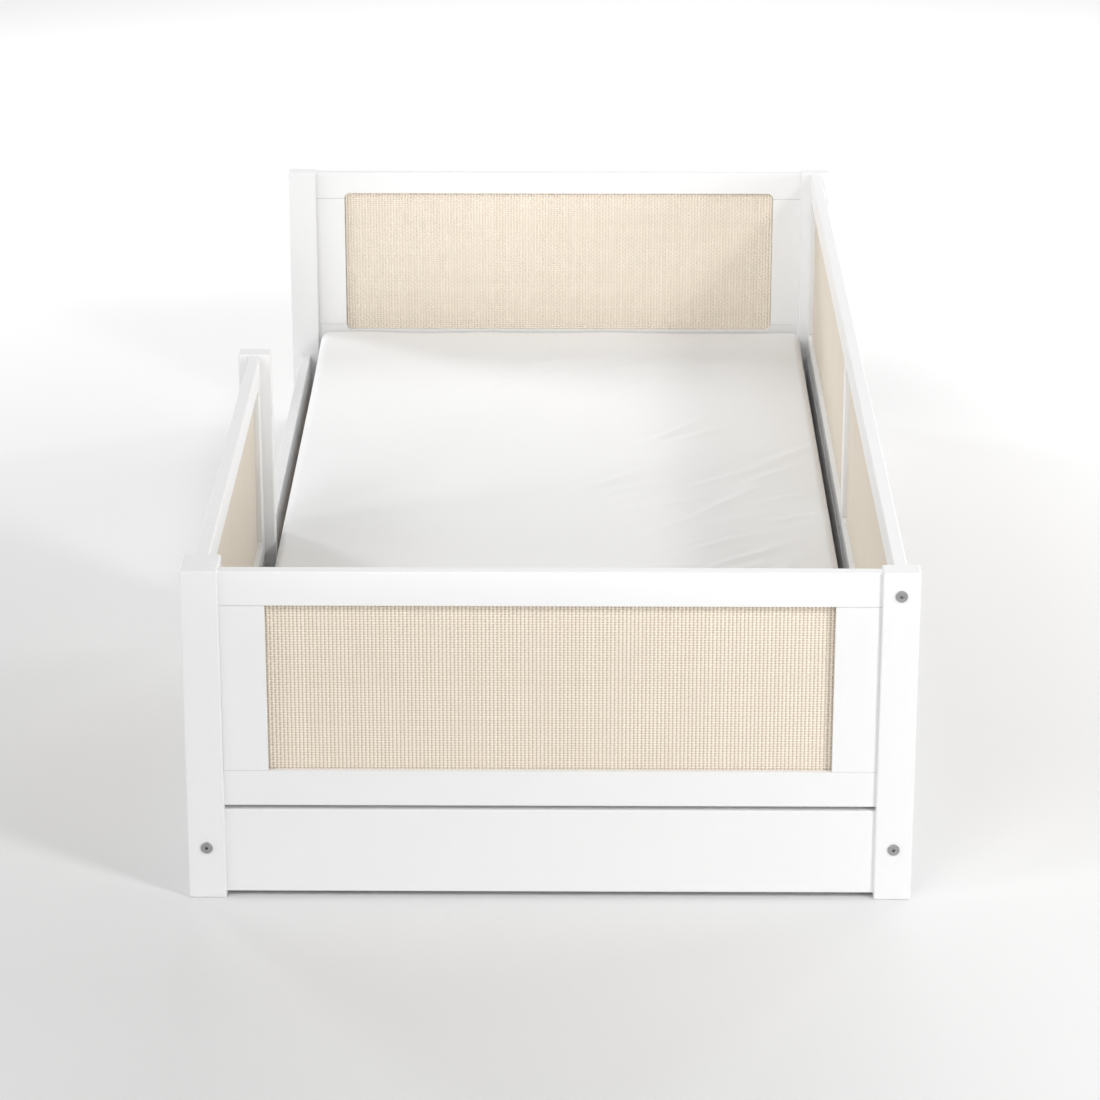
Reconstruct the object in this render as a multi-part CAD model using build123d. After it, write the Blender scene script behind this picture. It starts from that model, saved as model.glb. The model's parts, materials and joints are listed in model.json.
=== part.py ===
from build123d import *
import os

# Toddler bed in white lacquered wood with woven cane panels.
# Row frame in millimetres: +X to the right seen from the foot end, +Y towards the head, +Z up.
# The origin is on the floor at the middle of the bed.

# ---- driving dimensions -------------------------------------------------------------------
bed_width = 970.0
bed_length = 2064.0
bed_height = 470.0

post_width = 50.0
post_depth = 32.0
post_edge = 2.5

board = 18.0
rail_edge = 2.0
seam_edge = 0.4
end_inset = 5.0

lower_bottom = 8.0
lower_top = 128.0
frame_bottom = 134.0
bottom_rail_top = 184.0
top_rail_bottom = 420.0
frame_top = 468.0
stile_width = 60.0

cane_lip = 8.0
cane_thickness = 4.0
cane_overlap = 10.0
cane_corner = 10.0
cane_play = 0.2

short_guard_end = -57.0
fork_play = 0.2
fork_inner_bottom = 60.0

ledger_width = 20.0
ledger_bottom = 14.0
ledger_top = 42.0
ledger_end_gap = 2.0

slat_count = 15
slat_width = 68.0
slat_thickness = 16.0
slat_half_length = 446.0
slat_span = 1972.0
strap_width = 25.0
strap_thickness = 1.0
strap_offset = 300.0

mattress_left = -434.0
mattress_right = 441.0
mattress_foot = -994.0
mattress_head = 998.0
mattress_top = 178.0
mattress_edge = 14.0
mattress_rest_gap = 0.3
sheet_thickness = 1.0
sheet_gap = 0.3
sheet_tuck = 60.0

bolt_height_low = 74.0
bolt_height_high = 437.0
bolt_diameter = 6.0
bolt_length = 80.0
bolt_head_diameter = 16.0
bolt_head_height = 2.0
bolt_head_chamfer = 0.5
socket_flats = 4.0
socket_depth = 4.0
nut_diameter = 10.0
nut_length = 14.0
nut_from_tip = 4.0

dowel_diameter = 8.0
dowel_length = 30.0
dowel_in_rail = 12.0
dowel_offsets = (16.0, 30.0)
dowel_heights_board = (38.0, 98.0)
dowel_height_side = 38.0
dowel_height_guard = 456.0

guard_bolt_height = 104.0
guard_head_diameter = 14.0
guard_head_height = 2.5
guard_head_recess = 3.0
guard_bolt_shank = 32.0
sleeve_diameter = 9.0
sleeve_length = 30.5

screw_diameter = 4.0
screw_head_diameter = 8.0
screw_length = 30.0
ledger_screw_count = 6
ledger_screw_span = 1800.0

hole_play = 0.2
hole_end_play = 1.0

# ---- planes worked out from them ----------------------------------------------------------
half_width = bed_width / 2
half_length = bed_length / 2
post_inner_x = half_width - post_width
post_inner_y = half_length - post_depth
post_centre_x = half_width - post_width / 2
post_centre_y = half_length - post_depth / 2
side_outer = post_centre_x + board / 2
side_inner = post_centre_x - board / 2
end_outer = half_length - end_inset
end_inner = end_outer - board
end_centre = end_outer - board / 2
top_rail_middle = (top_rail_bottom + frame_top) / 2
bottom_rail_middle = (frame_bottom + bottom_rail_top) / 2
short_post_head = (short_guard_end - post_depth, short_guard_end)
short_post_foot = (-post_inner_y, -post_inner_y + post_depth)
bolt_tip_y = half_length - bolt_length
nut_y = bolt_tip_y + nut_from_tip

nodes = {}
holes = []


# ---- shapes used many times ---------------------------------------------------------------
def block(x, y, z):
    """A plain block between the low and high values given for each axis."""
    size = [high - low for low, high in (x, y, z)]
    centre = [(low + high) / 2 for low, high in (x, y, z)]
    return Pos(*centre) * Box(*size)


def rod(start, direction, length, diameter):
    """A round bar that starts at a point and runs along a direction."""
    bottom = (Align.CENTER, Align.CENTER, Align.MIN)
    return Plane(origin=start, z_dir=direction) * Cylinder(diameter / 2, length, align=bottom)


def ordered(a, b):
    """Two values as a low and a high one."""
    return (min(a, b), max(a, b))


def rounded_rail(x, y, z, axis, seam_height=None):
    """A rail with rounded long edges; those at the seam height only have their arris taken off."""
    rail = block(x, y, z)
    edges = rail.edges().filter_by(axis)
    if seam_height is None:
        return fillet(edges, rail_edge)
    sharp = [edge for edge in edges if abs(edge.center().Z - seam_height) < seam_edge]
    soft = [edge for edge in edges if abs(edge.center().Z - seam_height) >= seam_edge]
    rail = fillet(soft, rail_edge)
    sharp = [edge for edge in rail.edges().filter_by(axis) if abs(edge.center().Z - seam_height) < seam_edge]
    return chamfer(sharp, seam_edge)


def stile(x, y):
    """An upright between the two rails of a frame."""
    upright = block(x, y, (bottom_rail_top, top_rail_bottom))
    return chamfer(upright.edges(), seam_edge)


def post(x, y):
    """A full-height post with all its edges rounded."""
    return fillet(block(x, y, (0.0, bed_height)).edges(), post_edge)


def rebate(plane_axis, centre, middle, width, inward):
    """The stepped recess that holds a cane panel, cut from the inner face of a frame."""
    depth = board - cane_lip
    height = top_rail_bottom - bottom_rail_top
    outline = RectangleRounded(width + 2 * cane_overlap, height + 2 * cane_overlap, cane_corner)
    face_at = centre - inward * (board / 2 - cane_lip)
    return panel_solid(outline, plane_axis, face_at, middle, inward, depth)


def cane_panel(plane_axis, centre, middle, width, inward):
    """A woven cane panel, a thin board that sits on the lip of its rebate."""
    height = top_rail_bottom - bottom_rail_top
    grow = 2 * (cane_overlap - cane_play)
    outline = RectangleRounded(width + grow, height + grow, cane_corner - cane_play)
    face_at = centre - inward * (board / 2 - cane_lip)
    return panel_solid(outline, plane_axis, face_at, middle, inward, cane_thickness)


def panel_solid(outline, plane_axis, face_at, middle, inward, depth):
    """An upright outline, thickened inwards from the plane in which its outer face lies."""
    height = (top_rail_bottom + bottom_rail_top) / 2
    if plane_axis == "Y":
        plane = Plane(origin=(middle, face_at, height), x_dir=(1, 0, 0), z_dir=(0, inward, 0))
    else:
        plane = Plane(origin=(face_at, middle, height), x_dir=(0, 1, 0), z_dir=(inward, 0, 0))
    return extrude(plane * outline, amount=depth)


def hole(start, direction, length, diameter):
    """Remember a hole, a little wider and longer than what goes in it."""
    axis = Vector(*direction).normalized()
    first = Vector(*start) - axis * hole_end_play / 2
    holes.append(rod(tuple(first), direction, length + hole_end_play, diameter + hole_play))


def boxes_meet(one, other):
    """True where the bounding boxes of two shapes share some space."""
    a = one.bounding_box()
    b = other.bounding_box()
    return all((
        a.min.X < b.max.X and b.min.X < a.max.X,
        a.min.Y < b.max.Y and b.min.Y < a.max.Y,
        a.min.Z < b.max.Z and b.min.Z < a.max.Z,
    ))


# ---- posts and side rails -----------------------------------------------------------------
def make_corner_posts():
    for end, sign_y in (("foot", -1), ("head", 1)):
        for side, sign_x in (("left", -1), ("right", 1)):
            x = ordered(sign_x * half_width, sign_x * post_inner_x)
            y = ordered(sign_y * half_length, sign_y * post_inner_y)
            nodes[f"{end}_post_{side}"] = post(x, y)


def make_side_rails():
    for side, sign_x in (("left", -1), ("right", 1)):
        x = ordered(sign_x * side_inner, sign_x * side_outer)
        y = (-post_inner_y, post_inner_y)
        nodes[f"side_rail_{side}"] = rounded_rail(x, y, (lower_bottom, lower_top), Axis.Y)


# ---- foot and head frames -----------------------------------------------------------------
def make_end_frames():
    for end, sign_y in (("foot", -1), ("head", 1)):
        inward = -sign_y
        x = (-post_inner_x, post_inner_x)
        y = ordered(sign_y * end_outer, sign_y * end_inner)
        centre = sign_y * end_centre
        width = 2 * (post_inner_x - stile_width)
        recess = rebate("Y", centre, 0.0, width, inward)
        top = rounded_rail(x, y, (top_rail_bottom, frame_top), Axis.X, top_rail_bottom)
        bottom = rounded_rail(x, y, (frame_bottom, bottom_rail_top), Axis.X, bottom_rail_top)
        nodes[f"{end}_top_rail"] = top - recess
        nodes[f"{end}_bottom_rail"] = bottom - recess
        for side, sign_x in (("left", -1), ("right", 1)):
            stile_x = ordered(sign_x * post_inner_x, sign_x * (post_inner_x - stile_width))
            nodes[f"{end}_stile_{side}"] = stile(stile_x, y) - recess
        nodes[f"{end}_cane_panel"] = cane_panel("Y", centre, 0.0, width, inward)
        nodes[f"{end}_lower_board"] = rounded_rail(x, y, (lower_bottom, lower_top), Axis.X)


# ---- side guards --------------------------------------------------------------------------
def make_guard(name, sign_x, y, stile_names, stile_starts, cane_names):
    """A framed guard in the plane of a side rail, with a cane panel between each pair of stiles."""
    inward = -sign_x
    x = ordered(sign_x * side_inner, sign_x * side_outer)
    centre = sign_x * post_centre_x
    recesses = []
    for cane, start, following in zip(cane_names, stile_starts, stile_starts[1:]):
        low = start + stile_width
        width = following - low
        middle = (low + following) / 2
        recesses.append(rebate("X", centre, middle, width, inward))
        nodes[f"{name}_{cane}"] = cane_panel("X", centre, middle, width, inward)
    top = rounded_rail(x, y, (top_rail_bottom, frame_top), Axis.Y, top_rail_bottom)
    bottom = rounded_rail(x, y, (frame_bottom, bottom_rail_top), Axis.Y, bottom_rail_top)
    pieces = {"top_rail": top, "bottom_rail": bottom}
    for stile_name, start in zip(stile_names, stile_starts):
        pieces[stile_name] = stile(x, (start, start + stile_width))
        for seam, into_rail in ((bottom_rail_top, -1), (top_rail_bottom, 1)):
            add_stile_dowels(centre, start, seam, into_rail)
    for piece, shape in pieces.items():
        for recess in recesses:
            if boxes_meet(shape, recess):
                shape = shape - recess
        nodes[f"{name}_{piece}"] = shape


def make_long_guard():
    y = (-post_inner_y, post_inner_y)
    starts = (-post_inner_y, -stile_width / 2, post_inner_y - stile_width)
    names = ("stile_foot", "stile_middle", "stile_head")
    make_guard("long_guard", 1, y, names, starts, ("cane_foot", "cane_head"))


def make_short_guard():
    y = (short_post_foot[1], short_post_head[0])
    starts = (y[0], y[1] - stile_width)
    make_guard("short_guard", -1, y, ("stile_foot", "stile_middle"), starts, ("cane",))
    x = (-half_width, -post_inner_x)
    slot_x = (-side_outer - fork_play, -side_inner + fork_play)
    for name, post_y in (("post_foot", short_post_foot), ("post_middle", short_post_head)):
        wide_y = (post_y[0] - 1.0, post_y[1] + 1.0)
        slot = block(slot_x, wide_y, (-1.0, lower_top + fork_play))
        short_leg = block((slot_x[1] - 1.0, x[1] + 1.0), wide_y, (-1.0, fork_inner_bottom))
        nodes[f"short_guard_{name}"] = post(x, post_y) - slot - short_leg


# ---- slatted base -------------------------------------------------------------------------
def make_base():
    for side, sign_x in (("left", -1), ("right", 1)):
        x = ordered(sign_x * (side_inner - ledger_width), sign_x * side_inner)
        y_end = post_inner_y - ledger_end_gap
        nodes[f"ledger_{side}"] = block(x, (-y_end, y_end), (ledger_bottom, ledger_top))
        strap_x = sign_x * strap_offset
        nodes[f"slat_strap_{side}"] = block(
            (strap_x - strap_width / 2, strap_x + strap_width / 2),
            (-slat_span / 2, slat_span / 2),
            (ledger_top - strap_thickness, ledger_top),
        )
    pitch = (slat_span - slat_width) / (slat_count - 1)
    for index in range(slat_count):
        low = -slat_span / 2 + index * pitch
        slat = block(
            (-slat_half_length, slat_half_length),
            (low, low + slat_width),
            (ledger_top, ledger_top + slat_thickness),
        )
        nodes[f"slat_{index + 1:02d}"] = fillet(slat.edges().filter_by(Axis.X), rail_edge)


# ---- mattress -----------------------------------------------------------------------------
def make_mattress():
    bottom = ledger_top + slat_thickness + mattress_rest_gap
    outer = block(
        (mattress_left, mattress_right),
        (mattress_foot, mattress_head),
        (bottom, mattress_top),
    )
    outer = fillet(outer.edges(), mattress_edge)
    inner = shrink_block(sheet_thickness, bottom)
    opening = block(
        (mattress_left + sheet_tuck, mattress_right - sheet_tuck),
        (mattress_foot + sheet_tuck, mattress_head - sheet_tuck),
        (bottom - 1.0, bottom + 2 * sheet_thickness),
    )
    nodes["fitted_sheet"] = outer - inner - opening
    nodes["mattress_core"] = shrink_block(sheet_thickness + sheet_gap, bottom)


def shrink_block(by, bottom):
    """The mattress block with every face moved inwards."""
    shape = block(
        (mattress_left + by, mattress_right - by),
        (mattress_foot + by, mattress_head - by),
        (bottom + by, mattress_top - by),
    )
    return fillet(shape.edges(), mattress_edge - by)


# ---- bolts, nuts, dowels and screws -------------------------------------------------------
dowels = []


def add_dowel(centre, direction, shift=0.0):
    """A wooden dowel across a joint, moved along its axis by the shift, with its hole."""
    axis = Vector(*direction)
    start = tuple(Vector(*centre) + axis * (shift - dowel_length / 2))
    dowels.append(rod(start, direction, dowel_length, dowel_diameter))
    hole(start, direction, dowel_length, dowel_diameter)


def add_stile_dowels(centre, start, seam, into_rail, along_x=False):
    """The two dowels at one end of a stile."""
    shift = dowel_in_rail - dowel_length / 2
    for offset in dowel_offsets:
        place = (start + offset, centre, seam) if along_x else (centre, start + offset, seam)
        add_dowel(place, (0, 0, into_rail), shift)


def add_end_dowels():
    for sign_y in (-1, 1):
        y = sign_y * end_centre
        for sign_x in (-1, 1):
            x = sign_x * post_inner_x
            for z in (top_rail_middle, bottom_rail_middle) + dowel_heights_board:
                add_dowel((x, y, z), (1, 0, 0))
            start = -post_inner_x if sign_x < 0 else post_inner_x - stile_width
            for seam, into_rail in ((bottom_rail_top, -1), (top_rail_bottom, 1)):
                add_stile_dowels(y, start, seam, into_rail, along_x=True)


def add_side_dowels():
    for sign_y in (-1, 1):
        y = sign_y * post_inner_y
        for z in (dowel_height_side, bottom_rail_middle, dowel_height_guard):
            add_dowel((post_centre_x, y, z), (0, 1, 0))
        add_dowel((-post_centre_x, y, dowel_height_side), (0, 1, 0))
    for y in (short_post_foot[1], short_post_head[0]):
        for z in (top_rail_middle, bottom_rail_middle):
            add_dowel((-post_centre_x, y, z), (0, 1, 0))


def corner_bolt(x, z, sign_y):
    """A flat-headed bolt through a post along Y, with a hexagon socket in its head."""
    inward = (0, -sign_y, 0)
    face = (x, sign_y * half_length, z)
    outer = (x, sign_y * (half_length + bolt_head_height), z)
    head = rod(outer, inward, bolt_head_height, bolt_head_diameter)
    rim = head.edges().filter_by(GeomType.CIRCLE).sort_by(Axis.Y)[0 if sign_y < 0 else -1]
    head = chamfer(rim, bolt_head_chamfer)
    shank = rod(face, inward, bolt_length, bolt_diameter)
    plane = Plane(origin=outer, z_dir=inward)
    socket = extrude(plane * RegularPolygon(socket_flats / 2, 6, major_radius=False), socket_depth)
    hole(face, inward, bolt_length, bolt_diameter)
    return head + shank - socket


def barrel_nut(x, z, sign_y):
    """A cross dowel nut in a rail, with its axis along X and its bore along Y."""
    y = sign_y * nut_y
    body = rod((x - nut_length / 2, y, z), (1, 0, 0), nut_length, nut_diameter)
    bore = rod((x, y - nut_diameter, z), (0, 1, 0), 2 * nut_diameter, bolt_diameter + hole_play)
    sign_x = 1 if x > 0 else -1
    mouth = x - sign_x * board / 2
    depth = board / 2 + nut_length / 2
    hole((mouth, y, z), (sign_x, 0, 0), depth, nut_diameter)
    return body - bore


def make_corner_bolts():
    bolts = []
    nuts = []
    for sign_y in (-1, 1):
        for x, z in (
            (-post_centre_x, bolt_height_low),
            (post_centre_x, bolt_height_low),
            (post_centre_x, bolt_height_high),
        ):
            bolts.append(corner_bolt(x, z, sign_y))
            nuts.append(barrel_nut(x, z, sign_y))
    nodes["corner_bolts"] = Compound(children=bolts)
    nodes["barrel_nuts"] = Compound(children=nuts)


def make_guard_bolts():
    """Cross bolts with sleeve nuts that clamp the forked guard posts on the side rail."""
    bolts = []
    sleeves = []
    recess_gap = guard_head_recess - guard_head_height
    inner_face = -post_inner_x
    outer_face = -half_width
    for low, high in (short_post_foot, short_post_head):
        y = (low + high) / 2
        z = guard_bolt_height
        head_x = inner_face - recess_gap
        head = rod((head_x, y, z), (-1, 0, 0), guard_head_height, guard_head_diameter)
        shank_x = head_x - guard_head_height
        shank = rod((shank_x, y, z), (-1, 0, 0), guard_bolt_shank, bolt_diameter)
        plane = Plane(origin=(head_x, y, z), z_dir=(-1, 0, 0))
        socket = extrude(plane * RegularPolygon(socket_flats / 2, 6, major_radius=False), socket_depth)
        bolts.append(head + shank - socket)
        cap_x = outer_face + recess_gap
        cap = rod((cap_x, y, z), (1, 0, 0), guard_head_height, guard_head_diameter)
        sleeve_x = cap_x + guard_head_height
        sleeve = rod((sleeve_x, y, z), (1, 0, 0), sleeve_length, sleeve_diameter)
        bore = rod((sleeve_x, y, z), (1, 0, 0), sleeve_length + 1.0, bolt_diameter + hole_play)
        sleeves.append(cap + sleeve - bore)
        hole((inner_face, y, z), (-1, 0, 0), guard_head_recess, guard_head_diameter)
        hole((outer_face, y, z), (1, 0, 0), guard_head_recess, guard_head_diameter)
        hole((outer_face, y, z), (1, 0, 0), guard_head_recess + sleeve_length, sleeve_diameter)
        hole((inner_face, y, z), (-1, 0, 0), post_width / 2, bolt_diameter)
    nodes["guard_bolts"] = Compound(children=bolts)
    nodes["guard_sleeve_nuts"] = Compound(children=sleeves)


def screw(start, direction):
    """A countersunk wood screw whose head is flush with the face it starts from."""
    axis = Vector(*direction)
    cone_height = (screw_head_diameter - screw_diameter) / 2
    up = Plane(origin=start, z_dir=direction)
    middle = (Align.CENTER, Align.CENTER, Align.MIN)
    cone = up * Cone(screw_head_diameter / 2, screw_diameter / 2, cone_height, align=middle)
    neck = tuple(Vector(*start) + axis * cone_height)
    return cone + rod(neck, direction, screw_length - cone_height, screw_diameter)


def screw_hole(start, direction):
    """The countersunk hole for a screw, a little larger all round."""
    axis = Vector(*direction)
    before = tuple(Vector(*start) - axis * hole_play)
    cone_height = (screw_head_diameter - screw_diameter) / 2 + hole_play
    up = Plane(origin=before, z_dir=direction)
    middle = (Align.CENTER, Align.CENTER, Align.MIN)
    wide = screw_head_diameter / 2 + 2 * hole_play
    narrow = screw_diameter / 2 + hole_play
    cone = up * Cone(wide, narrow, cone_height + hole_play, align=middle)
    holes.append(cone + rod(before, direction, screw_length + hole_end_play, 2 * narrow))


def make_screws():
    ledger_screws = []
    ledger_step = ledger_screw_span / (ledger_screw_count - 1)
    for sign_x in (-1, 1):
        for index in range(ledger_screw_count):
            y = -ledger_screw_span / 2 + index * ledger_step
            start = (sign_x * (side_inner - ledger_width), y, (ledger_bottom + ledger_top) / 2)
            ledger_screws.append(screw(start, (sign_x, 0, 0)))
            screw_hole(start, (sign_x, 0, 0))
    nodes["ledger_screws"] = Compound(children=ledger_screws)
    slat_screws = []
    for sign_x in (-1, 1):
        for sign_y in (-1, 1):
            x = sign_x * (slat_half_length + side_inner - ledger_width) / 2
            y = sign_y * (slat_span - slat_width) / 2
            start = (x, y, ledger_top + slat_thickness)
            slat_screws.append(screw(start, (0, 0, -1)))
            screw_hole(start, (0, 0, -1))
    nodes["slat_screws"] = Compound(children=slat_screws)


def drill_wood():
    """Cut every remembered hole from each wooden piece that it passes through."""
    metal = ("corner_bolts", "barrel_nuts", "guard_bolts", "guard_sleeve_nuts")
    soft = ("fitted_sheet", "mattress_core", "slat_strap_left", "slat_strap_right")
    skipped = metal + soft + ("ledger_screws", "slat_screws", "dowels")
    for name in nodes:
        if name in skipped or "cane" in name:
            continue
        cutters = [cutter for cutter in holes if boxes_meet(nodes[name], cutter)]
        if cutters:
            nodes[name] = nodes[name] - cutters


make_corner_posts()
make_side_rails()
make_end_frames()
make_long_guard()
make_short_guard()
make_base()
make_mattress()
add_end_dowels()
add_side_dowels()
nodes["dowels"] = Compound(children=dowels)
make_corner_bolts()
make_guard_bolts()
make_screws()
drill_wood()

os.makedirs("parts", exist_ok=True)
for name, shape in nodes.items():
    export_step(shape, f"parts/{name}.step")
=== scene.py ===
import json
import math
import random

import bmesh
import bpy
import numpy as np
from bpy.props import FloatProperty, FloatVectorProperty, IntProperty, PointerProperty
from mathutils import Matrix, Vector


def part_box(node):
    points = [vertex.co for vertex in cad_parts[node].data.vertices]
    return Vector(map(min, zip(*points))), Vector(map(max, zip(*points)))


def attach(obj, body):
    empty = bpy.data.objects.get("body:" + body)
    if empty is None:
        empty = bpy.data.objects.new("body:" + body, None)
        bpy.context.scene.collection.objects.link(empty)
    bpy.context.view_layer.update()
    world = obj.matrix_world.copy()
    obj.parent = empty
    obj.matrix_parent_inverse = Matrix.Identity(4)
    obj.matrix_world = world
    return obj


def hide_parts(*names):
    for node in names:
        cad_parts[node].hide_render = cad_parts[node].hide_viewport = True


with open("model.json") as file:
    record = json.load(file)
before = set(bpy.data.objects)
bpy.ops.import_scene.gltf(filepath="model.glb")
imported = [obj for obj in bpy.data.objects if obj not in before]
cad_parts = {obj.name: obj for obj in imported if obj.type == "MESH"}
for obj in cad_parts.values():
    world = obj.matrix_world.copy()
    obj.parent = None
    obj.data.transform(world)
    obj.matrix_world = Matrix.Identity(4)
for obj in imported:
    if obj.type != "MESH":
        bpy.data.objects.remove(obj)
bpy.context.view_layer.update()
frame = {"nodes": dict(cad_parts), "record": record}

bl_info = {
    "name": "Cane toddler bed",
    "version": (1, 0, 0),
    "blender": (4, 5, 0),
    "location": "3D View > Sidebar > Bed",
    "description": "Finishes, woven cane panels and bedding for a low white toddler bed",
    "category": "Object",
}

SLOTS = {part["node"]: part["material_slot"] for part in frame["record"]["subparts"]}
MM = 0.001

# node, axis that the panel faces along, side of its inner face on that axis
CANE_PANELS = (
    ("foot_cane_panel", "Y", 1),
    ("head_cane_panel", "Y", -1),
    ("long_guard_cane_foot", "X", -1),
    ("long_guard_cane_head", "X", -1),
    ("short_guard_cane", "X", 1),
)

# centre of a group of creases and how far the group reaches, as shares of the width and length
CREASE_GROUPS = (
    (0.66, 0.62, 0.10, 0.10),
    (0.86, 0.60, 0.10, 0.13),
    (0.80, 0.43, 0.12, 0.07),
    (0.52, 0.88, 0.22, 0.05),
)

# name, turn from +X, height above the floor, spread (degrees), strength (W/m2)
FAR_LIGHTS = (
    ("front_left", 240.0, 40.0, 24.0, 0.69),
    ("left_front", 210.0, 40.0, 24.0, 0.25),
    ("low_left_front", 204.0, 22.0, 12.0, 0.34),
)
# name, place (m), side (m), power (W)
NEAR_LIGHTS = (
    ("key_right", (2.65, -3.20, 2.90), 0.7, 51.0),
    ("key_right_low", (2.65, -3.20, 0.80), 0.7, 28.0),
    ("low_right_back", (2.70, 2.50, 0.80), 0.7, 52.0),
    ("left_back", (-2.73, 2.47, 1.30), 0.7, 32.0),
    ("low_left", (-4.70, 0.00, 1.91), 1.6, 18.0),
    ("high_back", (0.00, 3.83, 3.41), 1.6, 30.0),
    ("high_right", (3.54, 1.47, 3.41), 1.6, 28.0),
    ("high_right_back", (1.47, 3.54, 3.41), 1.6, 30.0),
)
NEAR_LIGHT_TARGET = (0.0, 0.0, 0.25)

# place, target, size (m); the head light's spread is in degrees
HEAD_LIGHT = ((0.0, -3.0, 0.90), (0.0, 1.0, 0.45), (0.8, 0.12))
HEAD_LIGHT_SPREAD = 16.0
FAR_FLOOR_LIGHT = ((0.3, 3.0, 2.2), (0.3, 7.0, -0.3), (9.0, 0.8))

CAMERA_PLACE = (0.037, -5.836, 2.273)
CAMERA_TILT = 20.25
CAMERA_TURN = 0.44
CAMERA_LENS = 128.7
SENSOR_WIDTH = 36.0


# ---- node trees -------------------------------------------------------------------------------
class Value:
    """A node's output that takes part in arithmetic; each operation adds its Math node."""

    def __init__(self, nodes, socket):
        self.nodes = nodes
        self.socket = socket

    def __add__(self, other):
        return self.nodes.math("ADD", self, other)

    __radd__ = __add__

    def __sub__(self, other):
        return self.nodes.math("SUBTRACT", self, other)

    def __rsub__(self, other):
        return self.nodes.math("SUBTRACT", other, self)

    def __mul__(self, other):
        return self.nodes.math("MULTIPLY", self, other)

    __rmul__ = __mul__

    def __truediv__(self, other):
        return self.nodes.math("DIVIDE", self, other)

    def __abs__(self):
        return self.nodes.math("ABSOLUTE", self)

    def __pow__(self, other):
        return self.nodes.math("POWER", self, other)


class Nodes:
    """Adds nodes to one tree, each in a single call."""

    def __init__(self, tree):
        self.tree = tree

    def add(self, kind, settings=None, inputs=None, output=0):
        """A node of a type, with its settings first and then the values or links of its sockets."""
        node = self.tree.nodes.new(kind)
        for name, value in (settings or {}).items():
            if name == "stops":
                self.set_stops(node.color_ramp, value)
            else:
                setattr(node, name, value)
        for key, value in (inputs or {}).items():
            if isinstance(value, Value):
                self.tree.links.new(value.socket, node.inputs[key])
            else:
                node.inputs[key].default_value = value
        return Value(self, node.outputs[output]) if node.outputs else None

    def set_stops(self, ramp, stops):
        while len(ramp.elements) > len(stops):
            ramp.elements.remove(ramp.elements[-1])
        while len(ramp.elements) < len(stops):
            ramp.elements.new(1.0)
        for element, (position, colour) in zip(ramp.elements, stops):
            element.position = position
            element.color = colour

    def math(self, operation, *values):
        return self.add("ShaderNodeMath", {"operation": operation}, dict(enumerate(values)))

    def clamp(self, value, low, high):
        return self.add("ShaderNodeClamp", None, {"Value": value, "Min": low, "Max": high})

    def mix_colour(self, factor, first, second):
        settings = {"data_type": "RGBA"}
        return self.add("ShaderNodeMix", settings, {0: factor, 6: first, 7: second}, output=2)


def rgba(colour):
    return (colour[0], colour[1], colour[2], 1.0)


def shade(colour, factor):
    """A colour made lighter or darker by a factor, as RGBA."""
    return rgba([min(1.0, channel * factor) for channel in colour])


class Finish:
    """A material with its Principled shader, ready to have things linked to it."""

    def __init__(self, name, **constants):
        self.material = bpy.data.materials.new(name)
        self.material.use_nodes = True
        tree = self.material.node_tree
        self.nodes = Nodes(tree)
        self.shader = next(node for node in tree.nodes if node.type == "BSDF_PRINCIPLED")
        for key, value in constants.items():
            self.shader.inputs[key.replace("_", " ")].default_value = value

    def place(self, scale=(1.0, 1.0, 1.0), turn=(0.0, 0.0, 0.0)):
        """The point on the surface, in the bed's own frame, stretched by a scale."""
        point = self.nodes.add("ShaderNodeTexCoord", output="Object")
        inputs = {"Vector": point, "Rotation": turn, "Scale": scale}
        return self.nodes.add("ShaderNodeMapping", None, inputs)

    def noise(self, place, scale, detail=2.0, roughness=0.5):
        inputs = {"Vector": place, "Scale": scale, "Detail": detail, "Roughness": roughness}
        return self.nodes.add("ShaderNodeTexNoise", None, inputs, output=0)

    def link(self, key, value):
        self.nodes.tree.links.new(value.socket, self.shader.inputs[key])

    def bump(self, height, distance, strength=1.0):
        inputs = {"Height": height, "Distance": distance, "Strength": strength}
        self.link("Normal", self.nodes.add("ShaderNodeBump", None, inputs))


def along(axis, lengthwise, crosswise):
    """A scale that differs along one axis."""
    return tuple(lengthwise if name == axis else crosswise for name in "XYZ")


# ---- materials --------------------------------------------------------------------------------
def lacquer_finish(axis, colour, roughness, name=""):
    """White satin lacquer, with the faint grain of the wood still telegraphing through it."""
    finish = Finish(name or f"lacquer_{axis.lower()}", Roughness=roughness)
    grain = finish.noise(finish.place(along(axis, 6.0, 160.0)), scale=1.0, detail=3.0)
    cloud = finish.noise(finish.place(), scale=9.0, detail=2.0)
    mist = finish.noise(finish.place(), scale=900.0, detail=1.0)
    tint = grain * 0.35 + cloud * 0.65
    colours = finish.nodes.mix_colour(tint, shade(colour, 0.985), shade(colour, 1.015))
    finish.link("Base Color", colours)
    finish.link("Roughness", mist * 0.08 + cloud * 0.06 + (roughness - 0.07))
    finish.bump(grain * 0.8 + mist * 0.2, distance=0.05 * MM, strength=0.6)
    return finish


def stile_finish(colour, roughness, low, high, seam):
    """The upright lacquer, with a fine dark line at each end of a stile: painted shade of the hairline gap
    in the joint.
    """
    finish = lacquer_finish("Z", colour, roughness, name="lacquer_stile")
    height = finish.nodes.add("ShaderNodeSeparateXYZ", None, {"Vector": finish.place()}, output="Z")
    nearest = finish.nodes.math("MINIMUM", abs(height - low), abs(height - high))
    line = finish.nodes.clamp(1.0 - nearest / seam, 0.0, 1.0)
    plain = Value(finish.nodes, finish.shader.inputs["Base Color"].links[0].from_socket)
    # Painted shade: the mix darkens a thin line at each stile end for the shadowed gap of the joint.
    finish.link("Base Color", finish.nodes.mix_colour(line, plain, shade(colour, 0.55)))
    return finish.material


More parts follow.
